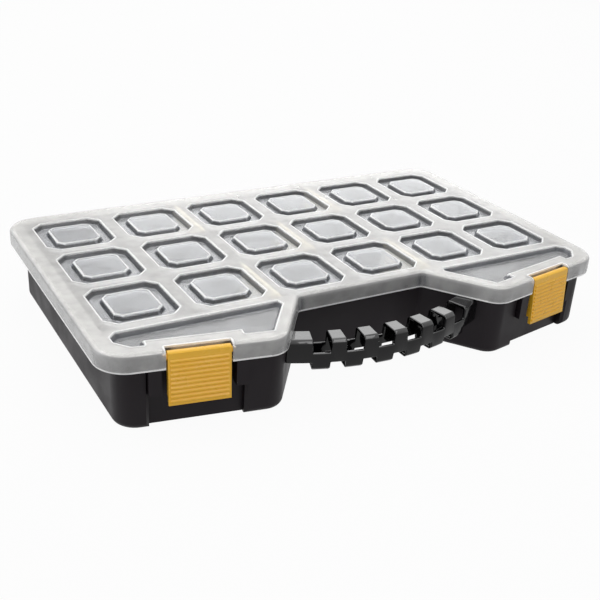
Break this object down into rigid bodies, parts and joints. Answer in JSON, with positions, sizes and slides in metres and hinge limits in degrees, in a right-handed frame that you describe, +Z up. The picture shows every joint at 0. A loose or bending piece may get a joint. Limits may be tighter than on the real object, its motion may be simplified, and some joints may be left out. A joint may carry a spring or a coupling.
{
  "type": "tool organizer box",
  "caption": "Flat compartment box with a translucent hinged lid, snap latches on angled front corners, loose dividers and a bowed carrying handle across a front notch.",
  "frame": {"origin": "on the flat underside that the box stands on, under the middle of the cell grid", "axes": "+X along the front to the right, +Y to the hinges at the back, +Z up"},
  "size_m": [0.4, 0.2636, 0.0555],
  "materials": {
    "tray": "fine-textured black polypropylene",
    "lid": "milky translucent polypropylene, smooth",
    "latch": "smooth yellow plastic with fine ribs",
    "handle": "smooth black plastic",
    "hinge_pin": "plain drawn wire",
    "divider": "pale plastic"
  },
  "bodies": {
    "tray": {"tray": "tray", "carry_handle": "handle", "hinge_pin_left": "hinge_pin", "hinge_pin_right": "hinge_pin", "divider_back_left": "divider", "divider_back_right": "divider", "divider_middle": "divider", "divider_front_left": "divider", "divider_front_right": "divider"},
    "lid": {"lid": "lid"},
    "latch_left": {"latch_left": "latch"},
    "latch_right": {"latch_right": "latch"}
  },
  "joints": [
    {"name": "lid_hinge", "type": "hinge", "parent": "tray", "child": "lid", "pos_m": [0, 0.111, 0.0445], "axis": [-1, 0, 0], "range_deg": [0, 110]},
    {"name": "latch_left_hinge", "type": "hinge", "parent": "lid", "child": "latch_left", "pos_m": [-0.14156, -0.13499, 0.0505], "axis": [-0.9856, 0.169, 0], "range_deg": [0, 120]},
    {"name": "latch_right_hinge", "type": "hinge", "parent": "lid", "child": "latch_right", "pos_m": [0.14156, -0.13499, 0.0505], "axis": [-0.9856, -0.169, 0], "range_deg": [0, 120]}
  ]
}
